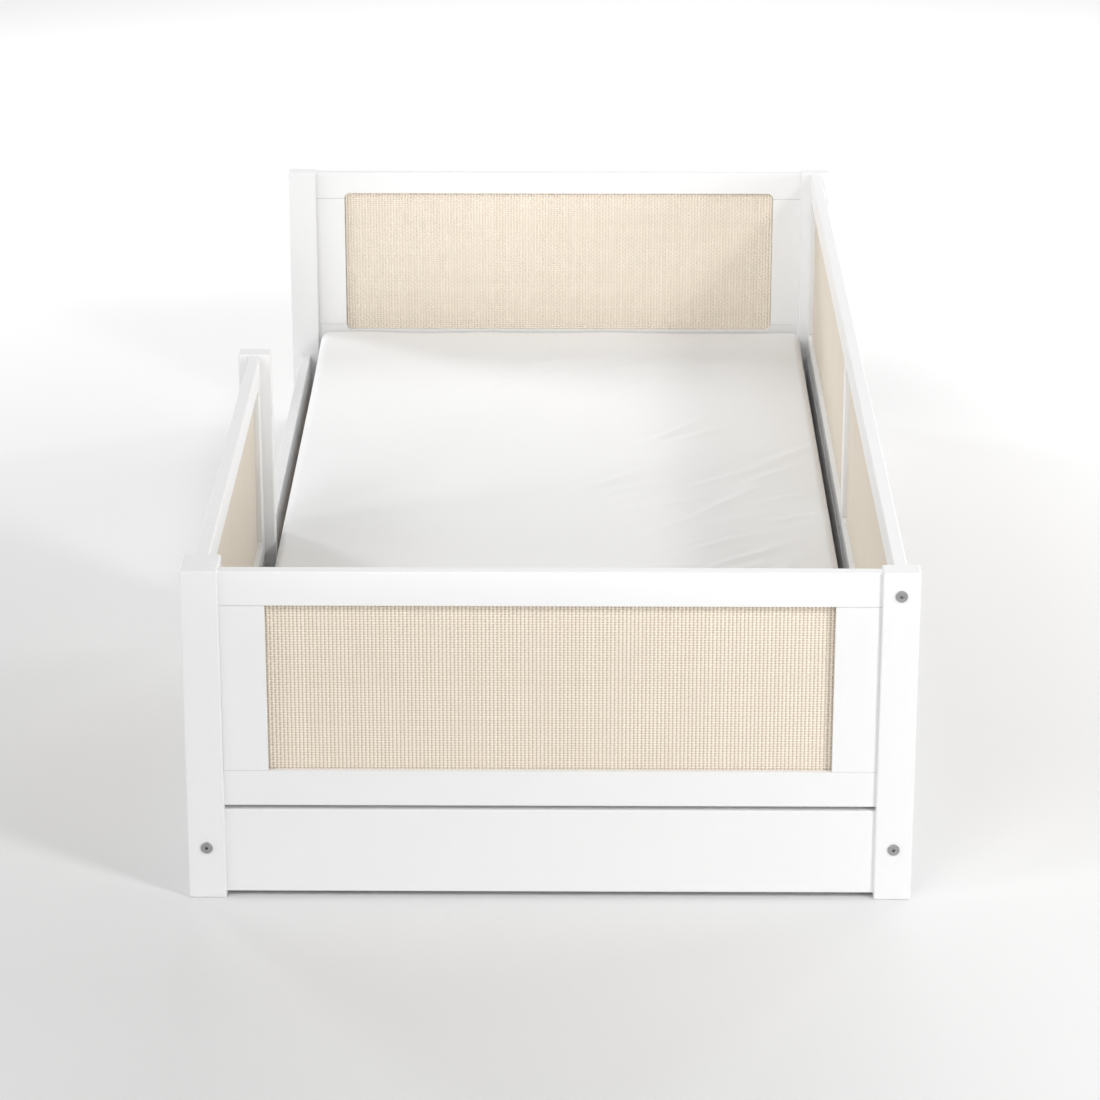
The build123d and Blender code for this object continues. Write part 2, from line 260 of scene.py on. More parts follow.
def pine_finish(name, axis, colour):
    """Planed, unfinished softwood: year rings cut lengthwise, streaks and small pores."""
    finish = Finish(name, Roughness=0.6)
    bent = finish.noise(finish.place(along(axis, 1.2, 9.0)), scale=1.0, detail=2.0)
    fine = finish.noise(finish.place(along(axis, 14.0, 900.0)), scale=1.0, detail=3.0)
    rings = finish.nodes.math("SINE", bent * 60.0) * 0.5 + 0.5
    late = rings ** 3.0
    tint = finish.nodes.clamp(late * 0.65 + fine * 0.45 - 0.1, 0.0, 1.0)
    finish.link("Base Color", finish.nodes.mix_colour(tint, shade(colour, 1.1), shade(colour, 0.72)))
    finish.link("Roughness", fine * 0.15 + 0.5)
    finish.bump(fine * 0.7 + late * 0.3, distance=0.12 * MM, strength=0.7)
    return finish.material


def cane_finish(name, axis, colour):
    """Split cane: each strand has its own tone, with fine fibres along it and a dull waxy sheen."""
    finish = Finish(name, Roughness=0.55)
    tone = finish.nodes.add("ShaderNodeAttribute", {"attribute_name": "tone"}, output="Fac")
    fibres = finish.noise(finish.place(along(axis, 70.0, 2600.0)), scale=1.0, detail=2.0)
    blotch = finish.noise(finish.place(along(axis, 12.0, 60.0)), scale=1.0, detail=2.0)
    tint = finish.nodes.clamp(tone * 0.4 + fibres * 0.35 + blotch * 0.25, 0.0, 1.0)
    light = shade(colour, 1.04)
    dark = rgba((colour[0] * 0.93, colour[1] * 0.91, colour[2] * 0.87))
    finish.link("Base Color", finish.nodes.mix_colour(tint, dark, light))
    finish.link("Roughness", 0.62 - fibres * 0.16)
    finish.bump(fibres, distance=0.08 * MM, strength=0.6)
    return finish.material


def steel_finish(name, colour):
    """Zinc-plated steel with a fine turned grain and a soft grey bloom."""
    finish = Finish(name, Metallic=1.0, Roughness=0.42)
    turned = finish.noise(finish.place(), scale=1800.0, detail=2.0)
    bloom = finish.noise(finish.place(), scale=240.0, detail=3.0)
    finish.link("Base Color", finish.nodes.mix_colour(bloom, shade(colour, 0.85), shade(colour, 1.12)))
    finish.link("Roughness", turned * 0.14 + bloom * 0.1 + 0.3)
    finish.bump(turned, distance=0.03 * MM, strength=0.5)
    return finish.material


def cotton_finish(name, colour, mottle=0.02):
    """Close-woven cotton: slubs along both thread directions, a matt surface and a soft edge light."""
    finish = Finish(name, Roughness=0.85, Sheen_Weight=0.15, Sheen_Roughness=0.5)
    warp = finish.noise(finish.place((1100.0, 110.0, 1100.0)), scale=1.0, detail=2.0)
    weft = finish.noise(finish.place((110.0, 1100.0, 110.0)), scale=1.0, detail=2.0)
    cloud = finish.noise(finish.place(), scale=14.0, detail=3.0)
    tint = warp * 0.3 + weft * 0.3 + cloud * 0.4
    low = shade(colour, 1.0 - mottle)
    high = shade(colour, 1.0 + mottle)
    finish.link("Base Color", finish.nodes.mix_colour(tint, low, high))
    finish.link("Roughness", cloud * 0.1 + 0.8)
    finish.bump(warp + weft, distance=0.12 * MM, strength=0.55)
    return finish.material


def webbing_finish(name, colour):
    """Narrow woven tape with ribs across its width."""
    finish = Finish(name, Roughness=0.8)
    ribs = finish.nodes.add(
        "ShaderNodeTexWave",
        {"wave_type": "BANDS", "bands_direction": "Y"},
        {"Vector": finish.place(), "Scale": 130.0, "Distortion": 0.6},
        output=1,
    )
    fuzz = finish.noise(finish.place(), scale=1500.0, detail=2.0)
    finish.link("Base Color", finish.nodes.mix_colour(ribs, shade(colour, 0.86), shade(colour, 1.04)))
    finish.bump(ribs * 0.8 + fuzz * 0.2, distance=0.3 * MM, strength=0.7)
    return finish.material


def floor_finish(colour, roughness):
    """A plain pale studio floor."""
    finish = Finish("studio_floor", Roughness=roughness)
    cloud = finish.noise(finish.place(), scale=0.6, detail=1.0)
    finish.link("Base Color", finish.nodes.mix_colour(cloud, shade(colour, 0.995), shade(colour, 1.005)))
    return finish.material


# ---- mesh helpers -----------------------------------------------------------------------------
def add_piece(name, mesh, body, replaced=()):
    """Show a finished mesh as one piece that rides on a body."""
    piece = bpy.data.objects.new(name, mesh)
    bpy.context.scene.collection.objects.link(piece)
    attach(piece, body)
    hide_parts(*replaced)
    return piece


def dress(node, material):
    """Give a carried-over node its finish."""
    mesh = frame["nodes"][node].data
    mesh.materials.clear()
    mesh.materials.append(material)


def longest_axis(node):
    low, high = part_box(node)
    size = high - low
    return "XYZ"[max(range(3), key=lambda index: size[index])]


def nodes_in_slot(slot):
    return sorted(node for node, used in SLOTS.items() if used == slot)


def new_tree(name, sockets):
    """An empty geometry node tree with named inputs and one geometry output."""
    tree = bpy.data.node_groups.new(name, "GeometryNodeTree")
    tree.is_modifier = True
    tree.interface.new_socket("Geometry", in_out="OUTPUT", socket_type="NodeSocketGeometry")
    for socket_name, kind in sockets:
        tree.interface.new_socket(socket_name, in_out="INPUT", socket_type=f"NodeSocket{kind}")
    nodes = Nodes(tree)
    entry = tree.nodes.new("NodeGroupInput")
    given = {name: Value(nodes, entry.outputs[name]) for name, kind in sockets}
    return tree, nodes, given


def mesh_from_tree(tree, values):
    """Run a geometry node tree with named values and return its result as a plain mesh."""
    carrier = bpy.data.objects.new("carrier", bpy.data.meshes.new("carrier"))
    bpy.context.scene.collection.objects.link(carrier)
    modifier = carrier.modifiers.new("Strands", "NODES")
    modifier.node_group = tree
    for item in tree.interface.items_tree:
        if item.in_out == "INPUT" and item.name in values:
            modifier[item.identifier] = values[item.name]
    depsgraph = bpy.context.evaluated_depsgraph_get()
    mesh = bpy.data.meshes.new_from_object(carrier.evaluated_get(depsgraph))
    bpy.data.objects.remove(carrier)
    return mesh


def points_of(mesh):
    points = np.zeros(len(mesh.vertices) * 3)
    mesh.vertices.foreach_get("co", points)
    return points.reshape(-1, 3)


def set_points(mesh, points):
    mesh.vertices.foreach_set("co", points.ravel())
    mesh.update()


# ---- woven cane -------------------------------------------------------------------------------
WEAVE_SOCKETS = (
    ("Strands", "Int"),
    ("First Strand", "Int"),
    ("Strand Step", "Int"),
    ("Strand Pitch", "Float"),
    ("Crossing Pitch", "Float"),
    ("Samples", "Int"),
    ("Samples Per Crossing", "Int"),
    ("Skipped Start", "Float"),
    ("Phase", "Float"),
    ("Wave", "Float"),
    ("Width", "Float"),
    ("Thickness", "Float"),
    ("Across", "Float"),
    ("Length", "Float"),
    ("Corner Radius", "Float"),
    ("Roll Depth", "Float"),
    ("Roll Width", "Float"),
    ("Lift", "Float"),
    ("Jitter", "Float"),
    ("Seed", "Int"),
    ("Material", "Material"),
)


def weave_tree():
    """One set of parallel strands that pass over and under the strands of the other set.

    The strands run along Y and lie side by side along X; Z is the panel's inner side.
    """
    tree, nodes, given = new_tree("Woven strands", WEAVE_SOCKETS)
    pitch = given["Strand Pitch"]
    across = given["Across"]
    length = given["Length"]
    first_x = (given["First Strand"] + 0.5) * pitch - across * 0.5
    start = nodes.add("ShaderNodeCombineXYZ", None, {"X": first_x})
    step = nodes.add("ShaderNodeCombineXYZ", None, {"X": given["Strand Step"] * pitch})
    row = nodes.add(
        "GeometryNodeMeshLine",
        {"mode": "OFFSET"},
        {"Count": given["Strands"], "Start Location": start, "Offset": step},
    )
    bottom = nodes.add("ShaderNodeCombineXYZ", None, {"Y": length * -0.5})
    top = nodes.add("ShaderNodeCombineXYZ", None, {"Y": length * 0.5})
    line = nodes.add("GeometryNodeCurvePrimitiveLine", None, {"Start": bottom, "End": top})
    line = nodes.add(
        "GeometryNodeResampleCurve",
        None,
        {"Curve": line, "Count": given["Samples"]},
    )
    strands = nodes.add("GeometryNodeInstanceOnPoints", None, {"Points": row, "Instance": line})
    strands = nodes.add("GeometryNodeRealizeInstances", None, {"Geometry": strands})
    strand_tone = nodes.add(
        "FunctionNodeRandomValue",
        {"data_type": "FLOAT"},
        {"Seed": given["Seed"]},
        output=1,
    )
    strands = nodes.add(
        "GeometryNodeStoreNamedAttribute",
        {"data_type": "FLOAT", "domain": "CURVE"},
        {"Geometry": strands, "Name": "tone", "Value": strand_tone},
    )
    strands = nodes.add(
        "GeometryNodeSetPosition",
        None,
        {"Geometry": strands, "Position": weave_position(nodes, given)},
    )
    strands = nodes.add("GeometryNodeSetCurveNormal", {"mode": "Z_UP"}, {"Curve": strands})
    half_thickness = given["Thickness"] * 0.5
    section = nodes.add(
        "GeometryNodeCurvePrimitiveQuadrilateral",
        {"mode": "KITE"},
        {"Width": given["Width"], "Bottom Height": half_thickness, "Top Height": half_thickness},
    )
    mesh = nodes.add(
        "GeometryNodeCurveToMesh",
        None,
        {"Curve": strands, "Profile Curve": section, "Fill Caps": True},
    )
    mesh = nodes.add("GeometryNodeSetShadeSmooth", None, {"Geometry": mesh})
    mesh = nodes.add("GeometryNodeRealizeInstances", None, {"Geometry": mesh})
    mesh = nodes.add(
        "GeometryNodeSetMaterial",
        None,
        {"Geometry": mesh, "Material": given["Material"]},
    )
    nodes.add("NodeGroupOutput", None, {"Geometry": mesh})
    return tree


def weave_position(nodes, given):
    """Where a point of a strand goes: over or under, trimmed at the corners, rolled at the edges."""
    half_across = given["Across"] * 0.5
    half_length = given["Length"] * 0.5
    pitch = given["Crossing Pitch"]
    place = nodes.add("GeometryNodeInputPosition")
    x = nodes.add("ShaderNodeSeparateXYZ", None, {"Vector": place})
    index = nodes.add("GeometryNodeSplineParameter", output="Index")
    sample = (index - given["Skipped Start"]) / given["Samples Per Crossing"]
    travelled = nodes.clamp(sample * pitch, 0.0, given["Length"])
    y = travelled - half_length
    number = nodes.math("ROUND", (x + half_across) / given["Strand Pitch"] - 0.5)
    turns = given["Phase"] + number + travelled / pitch - 0.5
    wave = nodes.math("COSINE", turns * math.pi) * given["Wave"]
    radius = given["Corner Radius"]
    beyond = nodes.math("MAXIMUM", abs(x) - half_across + radius, 0.0)
    inside = nodes.math("MAXIMUM", radius * radius - beyond * beyond, 0.0)
    drop = radius - nodes.math("SQRT", inside)
    trimmed = y * (1.0 - drop / half_length)
    edge = nodes.math("MINIMUM", half_across - abs(x), half_length - abs(trimmed))
    near = nodes.clamp(1.0 - edge / given["Roll Width"], 0.0, 1.0)
    roll = near * near * given["Roll Depth"]
    jitter = nodes.add(
        "FunctionNodeRandomValue",
        {"data_type": "FLOAT"},
        {"ID": number, "Seed": given["Seed"] + 1.0},
        output=1,
    )
    moved = x + (jitter - 0.5) * given["Jitter"]
    inputs = {"X": moved, "Y": trimmed, "Z": given["Lift"] + wave - roll}
    return nodes.add("ShaderNodeCombineXYZ", None, inputs)


def weave_values(settings, size, cross_size, pitch, cross_pitch):
    """The inputs that both sets of strands share."""
    return {
        "Strand Pitch": pitch,
        "Crossing Pitch": cross_pitch,
        "Across": size,
        "Length": cross_size,
        "Corner Radius": settings.corner_radius,
        "Roll Depth": settings.roll_depth,
        "Roll Width": settings.roll_width,
        "Lift": settings.lift,
        "Jitter": settings.jitter,
    }


def weave_panel(settings, tree, node, plane_axis, inward, seed, materials):
    """The upright and level strands of one panel, as three plain meshes in their place."""
    low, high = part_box(node)
    middle = (low + high) / 2
    size = high - low
    width = size.x if plane_axis == "Y" else size.y
    height = size.z
    columns = round(width / settings.column_pitch)
    rows = round(height / settings.row_pitch)
    column_pitch = width / columns
    row_pitch = height / rows
    up = Vector((0, 0, 1))
    normal = Vector((0, inward, 0)) if plane_axis == "Y" else Vector((inward, 0, 0))
    level = up.cross(normal)
    pieces = []
    upright = weave_values(settings, width, height, column_pitch, row_pitch)
    upright.update({
        "Strand Step": 2,
        "Samples": 2 * rows + 1,
        "Samples Per Crossing": 2,
        "Skipped Start": 0.0,
        "Phase": 0.0,
        "Wave": settings.upright_wave,
        "Width": settings.upright_width,
        "Thickness": settings.upright_thickness,
        "Material": materials[f"upright_{plane_axis.lower()}"],
    })
    turn = Matrix((level, up, normal)).transposed().to_4x4()
    for first, name in ((0, "even"), (1, "odd")):
        upright["First Strand"] = first
        upright["Strands"] = (columns - first + 1) // 2
        upright["Seed"] = seed + first
        mesh = mesh_from_tree(tree, upright)
        mesh.transform(Matrix.Translation(middle) @ turn)
        pieces.append((f"{node}_{name}_uprights", mesh))
    across = weave_values(settings, height, width, row_pitch, column_pitch)
    across.update({
        "Strands": rows,
        "First Strand": 0,
        "Strand Step": 1,
        "Samples": columns + 2,
        "Samples Per Crossing": 1,
        "Skipped Start": 0.5,
        "Phase": float(rows % 2),
        "Wave": settings.level_wave,
        "Width": settings.level_width,
        "Thickness": settings.level_thickness,
        "Seed": seed + 2,
        "Material": materials[f"level_{plane_axis.lower()}"],
    })
    turn = Matrix((-up, level, normal)).transposed().to_4x4()
    mesh = mesh_from_tree(tree, across)
    mesh.transform(Matrix.Translation(middle) @ turn)
    pieces.append((f"{node}_level_strands", mesh))
    return pieces


def shade_sheet_panel(settings, node, plane_axis, inward, materials):
    """A thin dark sheet behind the weave, put there as painted shade: it shows as dark points between
    strands, darker on its outer face than on its inner face.
    """
    low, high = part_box(node)
    middle = (low + high) / 2
    normal = Vector((0, inward, 0)) if plane_axis == "Y" else Vector((inward, 0, 0))
    inset = settings.shade_sheet_inset
    half = settings.shade_sheet_thickness / 2
    size = high - low
    half_width = (size.x if plane_axis == "Y" else size.y) / 2 - inset
    half_height = size.z / 2 - inset
    level = Vector((0, 0, 1)).cross(normal)
    corners = []
    for side in (-half, half):
        for across, up in ((-1, -1), (1, -1), (1, 1), (-1, 1)):
            out = normal * (settings.lift + settings.shade_sheet_lift + side)
            corners.append(middle + out + level * across * half_width + Vector((0, 0, up * half_height)))
    faces = [(3, 2, 1, 0), (4, 5, 6, 7), (0, 1, 5, 4), (1, 2, 6, 5), (2, 3, 7, 6), (3, 0, 4, 7)]
    mesh = bpy.data.meshes.new(f"{node}_liner")
    mesh.from_pydata(corners, [], faces)
    work = bmesh.new()
    work.from_mesh(mesh)
    bmesh.ops.recalc_face_normals(work, faces=work.faces)
    work.to_mesh(mesh)
    work.free()
    for material in materials:
        mesh.materials.append(material)
    for polygon in mesh.polygons:
        polygon.material_index = 1 if polygon.normal.dot(normal) > 0.5 else 0
    return mesh


# ---- bedding ----------------------------------------------------------------------------------
def stations(low, high, radius, spacing, edge_steps):
    """Places along one side of a block: close together over its rounded edges, wider between."""
    inner = np.linspace(low + radius, high - radius, max(2, round((high - low - 2 * radius) / spacing) + 1))
    edge = np.tan(np.linspace(math.pi / 4, 0.0, edge_steps, endpoint=False)) * radius
    return np.concatenate([low + radius - edge, inner, (high - radius + edge)[::-1]])


def rounded_block(name, low, high, radius, spacing, edge_steps=3):
    """A closed block of quads with rounded edges."""
    lines = [stations(low[axis], high[axis], radius, spacing, edge_steps) for axis in range(3)]
    mesh = bmesh.new()
    for axis in range(3):
        first, second = [other for other in range(3) if other != axis]
        for side in (0, -1):
            grid = []
            for a in lines[first]:
                row = []
                for b in lines[second]:
                    point = [0.0, 0.0, 0.0]
                    point[axis] = lines[axis][side]
                    point[first] = a
                    point[second] = b
                    row.append(mesh.verts.new(point))
                grid.append(row)
            for i in range(len(grid) - 1):
                for j in range(len(grid[0]) - 1):
                    mesh.faces.new((grid[i][j], grid[i + 1][j], grid[i + 1][j + 1], grid[i][j + 1]))
    bmesh.ops.remove_doubles(mesh, verts=mesh.verts, dist=0.01 * MM)
    inner_low = Vector(low) + Vector((radius,) * 3)
    inner_high = Vector(high) - Vector((radius,) * 3)
    for vert in mesh.verts:
        anchor = Vector(min(max(vert.co[i], inner_low[i]), inner_high[i]) for i in range(3))
        out = vert.co - anchor
        if out.length > 0:
            vert.co = anchor + out.normalized() * radius
    bmesh.ops.recalc_face_normals(mesh, faces=mesh.faces)
    data = bpy.data.meshes.new(name)
    mesh.to_mesh(data)
    mesh.free()
    for polygon in data.polygons:
        polygon.use_smooth = True
    return data


def inflate(mesh, pressure, slack, frames, most):
    """Swell a closed mesh as cloth under a little air pressure, and cap how far a point moves."""
    start = points_of(mesh)
    body = bpy.data.objects.new("swelling", mesh)
    bpy.context.scene.collection.objects.link(body)
    cloth = body.modifiers.new("Cloth", "CLOTH")
    cloth.settings.quality = 6
    cloth.settings.mass = 0.3
    cloth.settings.tension_stiffness = 25.0
    cloth.settings.compression_stiffness = 25.0
    cloth.settings.shear_stiffness = 8.0
    cloth.settings.bending_stiffness = 0.4
    cloth.settings.shrink_min = -slack
    cloth.settings.use_pressure = True
    cloth.settings.uniform_pressure_force = pressure
    cloth.settings.effector_weights.gravity = 0.0
    cloth.point_cache.frame_start = 1
    cloth.point_cache.frame_end = frames
    scene = bpy.context.scene
    for number in range(1, frames + 1):
        scene.frame_set(number)
    depsgraph = bpy.context.evaluated_depsgraph_get()
    swollen = bpy.data.meshes.new_from_object(body.evaluated_get(depsgraph))
    moved = points_of(swollen) - start
    scene.frame_set(1)
    bpy.data.objects.remove(body)
    bpy.data.meshes.remove(swollen)
    reach = np.linalg.norm(moved, axis=1, keepdims=True)
    limit = most * np.tanh(reach / most) / np.maximum(reach, 1e-9)
    set_points(mesh, start + moved * limit)
    return mesh


def subdivide(mesh, levels):
    """A mesh with a Subdivision Surface applied to it."""
    body = bpy.data.objects.new("smoothing", mesh)
    bpy.context.scene.collection.objects.link(body)
    modifier = body.modifiers.new("Subdivision", "SUBSURF")
    modifier.levels = levels
    modifier.render_levels = levels
    depsgraph = bpy.context.evaluated_depsgraph_get()
    smooth = bpy.data.meshes.new_from_object(body.evaluated_get(depsgraph))
    bpy.data.objects.remove(body)
    return smooth


def crease_field(points, settings, low, high):
    """How far the pulled creases of the sheet lift each point of its top."""
    dice = random.Random(settings.crease_seed)
    size = high - low
    trough_depth = 0.45
    trough_place = 1.6
    lift = np.zeros(len(points))
    for index in range(settings.creases):
        share_x, share_y, spread_x, spread_y = CREASE_GROUPS[index % len(CREASE_GROUPS)]
        x = low.x + size.x * (share_x + dice.uniform(-spread_x, spread_x))
        y = low.y + size.y * (share_y + dice.uniform(-spread_y, spread_y))
        turn = settings.crease_angle + math.radians(dice.gauss(0.0, 9.0))
        half = dice.uniform(35.0, 95.0) * MM
        wide = dice.uniform(7.0, 12.0) * MM
        height = settings.crease_height * dice.uniform(0.35, 1.0)
        along_it = (points[:, 0] - x) * math.cos(turn) + (points[:, 1] - y) * math.sin(turn)
        across_it = (points[:, 1] - y) * math.cos(turn) - (points[:, 0] - x) * math.sin(turn)
        across_it = across_it + along_it ** 2 * dice.uniform(-1.5, 1.5)
        ridge = np.exp(-(across_it / wide) ** 2)
        trough = np.exp(-((across_it - trough_place * wide) / wide) ** 2)
        profile = ridge - trough_depth * trough
        lift += height * profile * np.exp(-(along_it / half) ** 2)
    return lift


def soft_waves(points, settings):
    """Broad, very low unevenness of a stretched sheet."""
    dice = random.Random(settings.crease_seed + 1)
    waves = 9
    lift = np.zeros(len(points))
    for _ in range(waves):
        turn = dice.uniform(0.0, math.pi)
        period = dice.uniform(0.16, 0.5)
        shift = dice.uniform(0.0, 2 * math.pi)
        along_it = points[:, 0] * math.cos(turn) + points[:, 1] * math.sin(turn)
        lift += np.sin(along_it * 2 * math.pi / period + shift) * settings.unevenness / waves
    return lift


def mattress_block(settings, inset, name):
    """The mattress's shape, swollen by its stuffing, a little inside the box of the sheet."""
    low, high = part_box("fitted_sheet")
    room = settings.swell + inset
    low = Vector((low.x + room, low.y + room, low.z + inset))
    high = Vector((high.x - room, high.y - room, high.z - inset))
    block = rounded_block(name, low, high, settings.edge_radius, settings.grid)
    inflate(block, settings.pressure, settings.slack, settings.frames, settings.swell)
    points = points_of(block)
    points[:, 2] = np.maximum(points[:, 2], low.z)
    set_points(block, points)
    return block, low, high


def open_bottom(mesh, low, high, tuck):
    """Cut away the middle of the sheet's underside, and leave the tuck all round."""
    underside = low.z + 20 * MM
    work = bmesh.new()
    work.from_mesh(mesh)
    gone = []
    for face in work.faces:
        centre = face.calc_center_median()
        inside_x = low.x + tuck < centre.x < high.x - tuck
        inside_y = low.y + tuck < centre.y < high.y - tuck
        if inside_x and inside_y and centre.z < underside:
            gone.append(face)
    bmesh.ops.delete(work, geom=gone, context="FACES")
    work.to_mesh(mesh)
    work.free()
    return mesh


# ---- settings ---------------------------------------------------------------------------------
class LacquerSettings(bpy.types.PropertyGroup):
    colour: FloatVectorProperty(
        name="Colour", description="Colour of the white lacquer", subtype="COLOR",
        size=3, min=0.0, max=1.0, default=(0.86, 0.86, 0.86),
    )
    roughness: FloatProperty(
        name="Roughness", description="How satin the lacquer is", subtype="FACTOR",
        min=0.1, max=0.9, default=0.42,
    )
    # The seam setting is the reach of a painted shade line at each stile end.
    seam: FloatProperty(
        name="Seam", description="Reach of the fine dark line at a stile's end", unit="LENGTH",
        default=1.2 * MM,
    )


class WoodSettings(bpy.types.PropertyGroup):
    pine: FloatVectorProperty(
        name="Pine", description="Colour of the slats and ledgers", subtype="COLOR",
        size=3, min=0.0, max=1.0, default=(0.66, 0.46, 0.26),
    )
    beech: FloatVectorProperty(
        name="Beech", description="Colour of the dowels", subtype="COLOR",
        size=3, min=0.0, max=1.0, default=(0.55, 0.36, 0.20),
    )
    strap: FloatVectorProperty(
        name="Strap", description="Colour of the tape that ties the slats", subtype="COLOR",
        size=3, min=0.0, max=1.0, default=(0.74, 0.73, 0.70),
    )


class HardwareSettings(bpy.types.PropertyGroup):
    zinc: FloatVectorProperty(
        name="Zinc", description="Colour of the bolt heads", subtype="COLOR",
        size=3, min=0.0, max=1.0, default=(0.42, 0.42, 0.42),
    )


class CaneSettings(bpy.types.PropertyGroup):
    colour: FloatVectorProperty(
        name="Colour", description="Colour of the cane", subtype="COLOR",
        size=3, min=0.0, max=1.0, default=(0.92, 0.835, 0.73),
    )
    # The guards' cane colour is the cane made darker as painted shade, for the weaker light on the guards'
    # inner faces.
    guard_painted_shade_colour: FloatVectorProperty(
        name="Guard colour", description="Colour of the cane in the side guards", subtype="COLOR",
        size=3, min=0.0, max=1.0, default=(0.76, 0.70, 0.615),
    )
    column_pitch: FloatProperty(
        name="Column pitch", description="Distance between upright strands", unit="LENGTH",
        default=5.15 * MM,
    )
    row_pitch: FloatProperty(
        name="Row pitch", description="Distance between level strands", unit="LENGTH",
        default=3.6 * MM,
    )
    upright_width: FloatProperty(
        name="Upright width", description="Width of an upright strand", unit="LENGTH",
        default=4.55 * MM,
    )
    upright_thickness: FloatProperty(
        name="Upright thickness", description="Thickness of an upright strand", unit="LENGTH",
        default=1.5 * MM,
    )
    upright_wave: FloatProperty(
        name="Upright wave", description="How far uprights bend over and under", unit="LENGTH",
        default=0.42 * MM,
    )
    level_width: FloatProperty(
        name="Level width", description="Width of a level strand", unit="LENGTH",
        default=3.05 * MM,
    )
    level_thickness: FloatProperty(
        name="Level thickness", description="Thickness of a level strand", unit="LENGTH",
        default=1.2 * MM,
    )
    level_wave: FloatProperty(
        name="Level wave", description="How far level strands bend over and under", unit="LENGTH",
        default=0.36 * MM,
    )
    corner_radius: FloatProperty(
        name="Corner radius", description="Rounding of the panel's corners", unit="LENGTH",
        default=9.8 * MM,
    )
    roll_width: FloatProperty(
        name="Roll width", description="Width of the rolled edge", unit="LENGTH",
        default=7.0 * MM,
    )
    roll_depth: FloatProperty(
        name="Roll depth", description="How far the rolled edge falls back", unit="LENGTH",
        default=1.2 * MM,
    )
    lift: FloatProperty(
        name="Lift", description="How far the field stands towards the inner side", unit="LENGTH",
        default=0.3 * MM,
    )
    jitter: FloatProperty(
        name="Jitter", description="Uneven spacing of the strands", unit="LENGTH",
        default=0.06 * MM,
    )
    # The two colours of the sheet behind the weave are painted shade: the dark outer one and the lighter
    # inner one stand in for the shadow seen through the weave's holes.
    shade_sheet_outer_colour: FloatVectorProperty(
        name="Shade sheet", description="Colour of the backing behind the weave", subtype="COLOR",
        size=3, min=0.0, max=1.0, default=(0.44, 0.35, 0.25),
    )
    shade_sheet_inner_colour: FloatVectorProperty(
        name="Liner inside", description="Colour of the backing's inner face", subtype="COLOR",
        size=3, min=0.0, max=1.0, default=(0.74, 0.64, 0.53),
    )
    shade_sheet_inset: FloatProperty(
        name="Liner inset", description="Distance from the panel's edge to the backing's edge",
        unit="LENGTH", default=8.0 * MM,
    )
    shade_sheet_lift: FloatProperty(
        name="Liner lift", description="How far the backing stands towards the inner side",
        unit="LENGTH", default=-0.1 * MM,
    )
    shade_sheet_thickness: FloatProperty(
        name="Liner thickness", description="Thickness of the backing", unit="LENGTH",
        default=0.3 * MM,
    )
    seed: IntProperty(name="Seed", description="Start of the random tones", default=7)


class BeddingSettings(bpy.types.PropertyGroup):
    colour: FloatVectorProperty(
        name="Sheet", description="Colour of the fitted sheet", subtype="COLOR",
        size=3, min=0.0, max=1.0, default=(0.865, 0.867, 0.867),
    )
    ticking: FloatVectorProperty(
        name="Ticking", description="Colour of the mattress cover", subtype="COLOR",
        size=3, min=0.0, max=1.0, default=(0.80, 0.78, 0.72),
    )
    grid: FloatProperty(
        name="Grid", description="Spacing of the cloth's points", unit="LENGTH",
        default=27.0 * MM,
    )
    pad_inset: FloatProperty(
        name="Pad inset", description="Distance from the sheet to the mattress inside it",
        unit="LENGTH", default=3.0 * MM,
    )
    edge_radius: FloatProperty(
        name="Edge radius", description="Rounding of the mattress's edges", unit="LENGTH",
        default=16.0 * MM,
    )
    swell: FloatProperty(
        name="Swell", description="The most that the stuffing pushes out", unit="LENGTH",
        default=3.0 * MM,
    )
    pressure: FloatProperty(name="Pressure", description="Push of the stuffing", default=4.0)
    slack: FloatProperty(
        name="Slack", description="Spare cloth, as a share", subtype="FACTOR",
        min=0.0, max=0.1, default=0.01,
    )
    frames: IntProperty(name="Frames", description="Steps of the simulation", default=20)
    tuck: FloatProperty(
        name="Tuck", description="How far the sheet goes underneath", unit="LENGTH",
        default=60.0 * MM,
    )
    creases: IntProperty(name="Creases", description="Number of pulled creases", default=38)
    crease_height: FloatProperty(
        name="Crease height", description="Height of the tallest crease", unit="LENGTH",
        default=2.4 * MM,
    )
    crease_angle: FloatProperty(
        name="Crease angle", description="Direction of the creases, from +X", subtype="ANGLE",
        default=math.radians(45.0),
    )
    unevenness: FloatProperty(
        name="Unevenness", description="Height of the broad waves", unit="LENGTH",
        default=2.0 * MM,
    )
    crease_seed: IntProperty(name="Seed", description="Start of the random creases", default=3)


class StageSettings(bpy.types.PropertyGroup):
    floor_colour: FloatVectorProperty(
        name="Floor", description="Colour of the studio floor", subtype="COLOR",
        size=3, min=0.0, max=1.0, default=(0.82, 0.82, 0.82),
    )
    floor_half: FloatProperty(
        name="Floor half size", description="Half the side of the floor", unit="LENGTH",
        default=60.0,
    )
    sky: FloatProperty(name="Sky", description="Strength of the white surroundings", default=0.3)
    backdrop: FloatProperty(
        name="Backdrop", description="How bright the empty distance looks", default=0.8,
    )
    brightness: FloatProperty(
        name="Brightness", description="Factor on all the lights", default=1.0,
    )
    head_light: FloatProperty(
        name="Head light", description="Power of the narrow light on the head end",
        unit="POWER", default=0.46,
    )
    far_floor: FloatProperty(
        name="Far floor", description="Power of the light over the floor behind the bed",
        unit="POWER", default=97.0,
    )


SETTINGS = {
    "bed_lacquer": LacquerSettings,
    "bed_wood": WoodSettings,
    "bed_hardware": HardwareSettings,
    "bed_cane": CaneSettings,
    "bed_bedding": BeddingSettings,
    "bed_stage": StageSettings,
}


